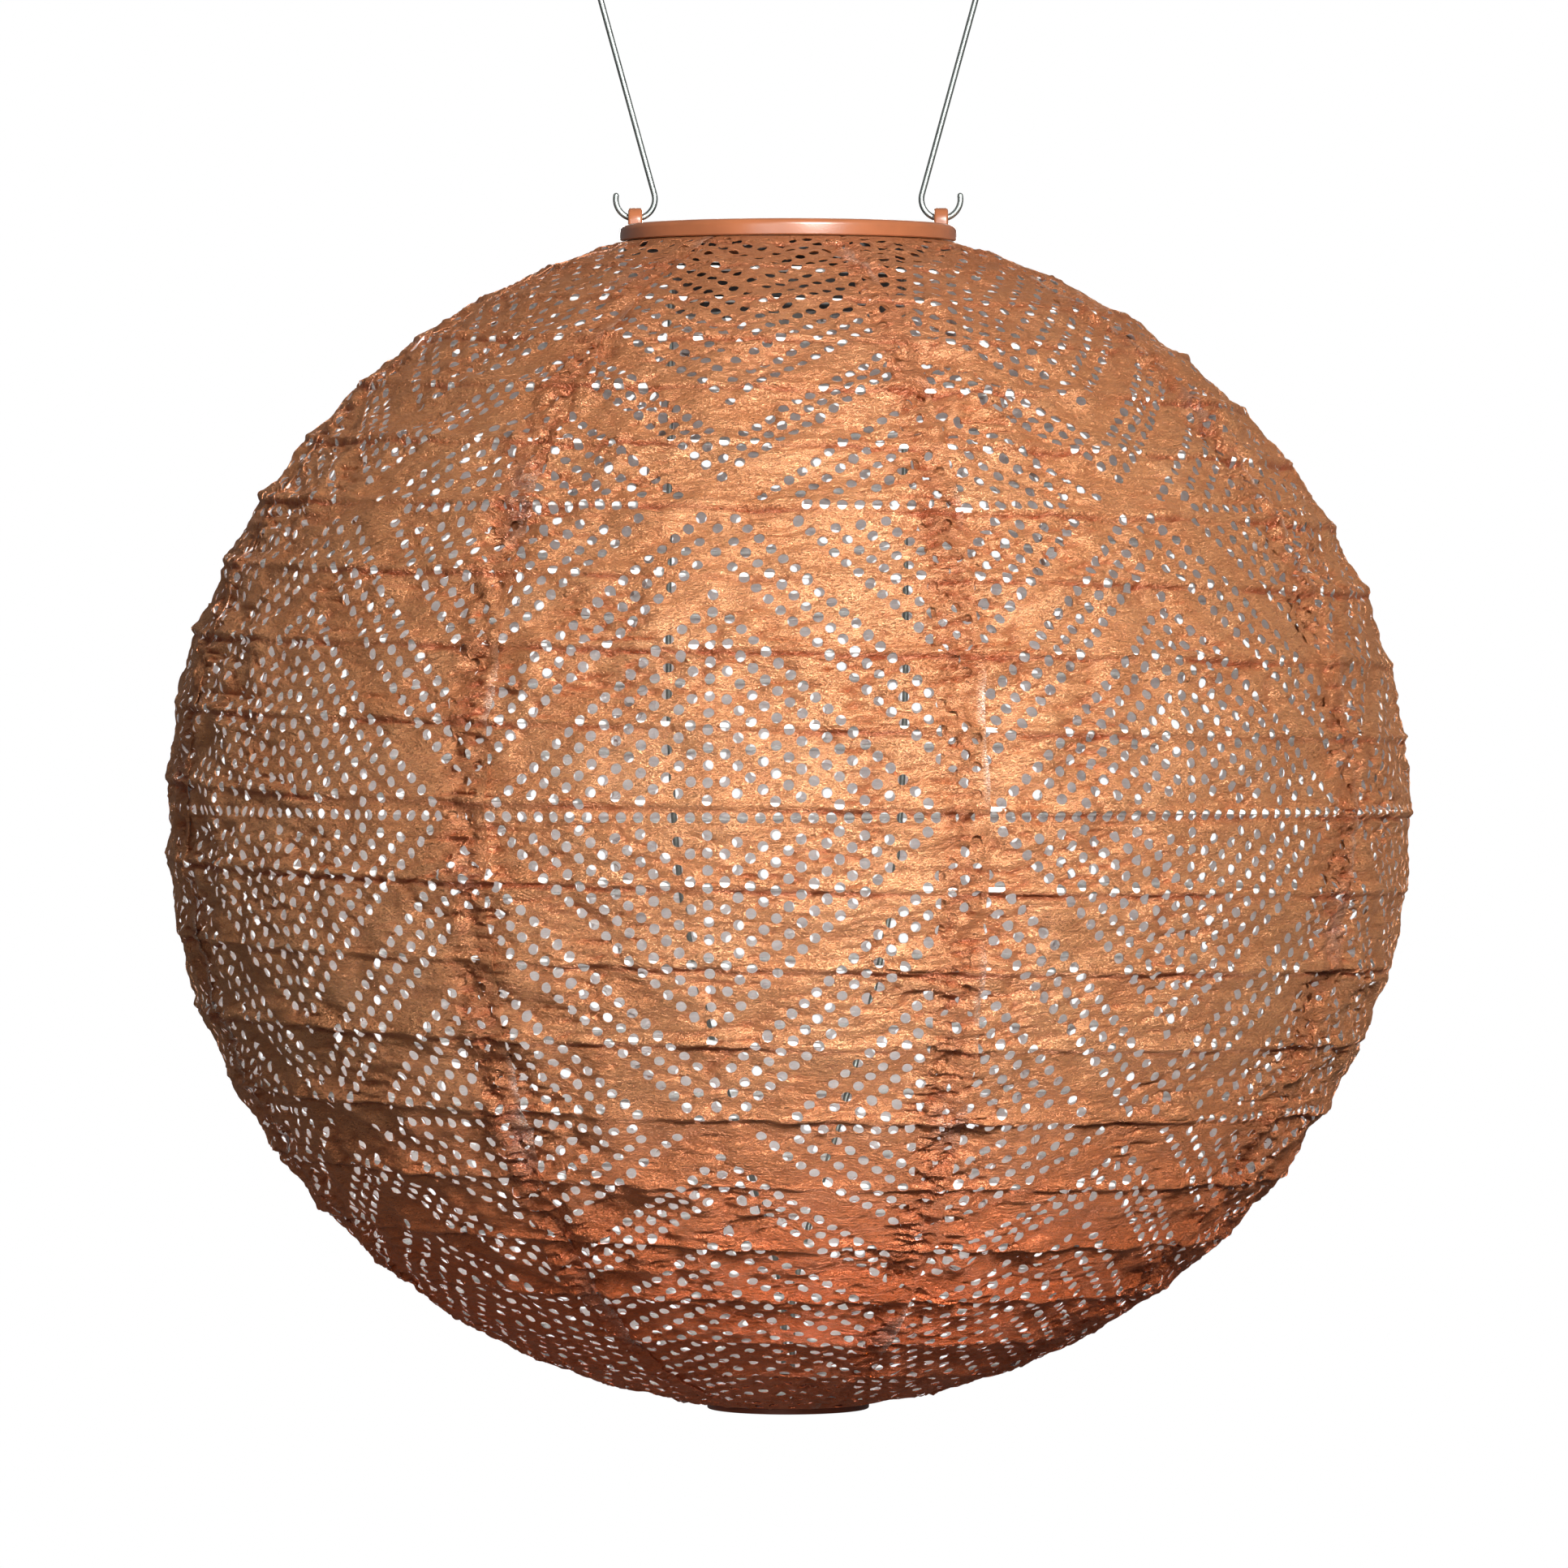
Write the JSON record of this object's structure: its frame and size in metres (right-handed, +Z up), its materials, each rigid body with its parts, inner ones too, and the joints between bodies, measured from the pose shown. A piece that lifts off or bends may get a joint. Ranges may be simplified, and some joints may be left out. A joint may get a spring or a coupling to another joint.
{
  "type": "hanging lantern",
  "caption": "Round collapsible garden lantern: perforated copper sheet shade on a spiral wire rib, neck ring, wire bail and a lift-out solar light module.",
  "frame": {"origin": "inner top of the bail's eye, where a hook holds the lantern, on the globe's axis", "axes": "+Z up along the globe's axis; X through the neck ring's two ears; the front is -Y"},
  "size_m": [0.4198, 0.4198, 0.58],
  "materials": {
    "copper_sheet": "copper-coloured metallic coating on a crinkled, punched non-woven sheet, white inside",
    "white_wire": "white plastic-coated steel wire",
    "galvanised_wire": "dull galvanised steel wire",
    "brown_plastic": "satin moulded copper-brown plastic",
    "black_plastic": "fine-textured moulded black plastic",
    "solar_panel": "resin-coated silicon cells with fine metal lines",
    "gasket_rubber": "soft black rubber",
    "bright_steel": "nickel-plated steel",
    "cell_wrap": "plain shrink sleeve",
    "board": "green solder resist",
    "clear_lens": "clear moulded lens",
    "frosted_plastic": "frosted translucent plastic",
    "switch_plastic": "moulded light grey plastic",
    "lead_red": "red wire insulation",
    "lead_black": "black wire insulation"
  },
  "bodies": {
    "bail": {"bail": "galvanised_wire"},
    "lantern": {"shade_gore_1": "copper_sheet", "shade_gore_2": "copper_sheet", "shade_gore_3": "copper_sheet", "shade_gore_4": "copper_sheet", "shade_gore_5": "copper_sheet", "shade_gore_6": "copper_sheet", "shade_gore_7": "copper_sheet", "shade_gore_8": "copper_sheet", "rib_coil": "white_wire", "neck_ring": "brown_plastic", "clamp_ring": "black_plastic", "stretcher": "galvanised_wire", "bottom_hub": "brown_plastic"},
    "solar_module": {"module_cover": "black_plastic", "solar_panel": "solar_panel", "cover_gasket": "gasket_rubber", "module_housing": "black_plastic", "battery_door": "black_plastic", "door_screw": "bright_steel", "battery": "cell_wrap", "battery_spring": "bright_steel", "battery_plate": "bright_steel", "circuit_board": "board", "board_screw_1": "bright_steel", "board_screw_2": "bright_steel", "light_diode": "clear_lens", "diffuser": "frosted_plastic", "switch_body": "black_plastic", "panel_lead_red": "lead_red", "panel_lead_black": "lead_black"},
    "switch_slider": {"switch_slider": "switch_plastic"}
  },
  "joints": [
    {"name": "bail_swing", "type": "hinge", "parent": "bail", "child": "lantern", "pos_m": [0, 0, -0.17602], "axis": [1, 0, 0], "range_deg": [-90, 90]},
    {"name": "module_lift", "type": "slide", "parent": "lantern", "child": "solar_module", "axis": [0, 0, 1], "range_m": [0, 0.06]},
    {"name": "switch_slide", "type": "slide", "parent": "solar_module", "child": "switch_slider", "axis": [1, 0, 0], "range_m": [0, 0.003]}
  ]
}
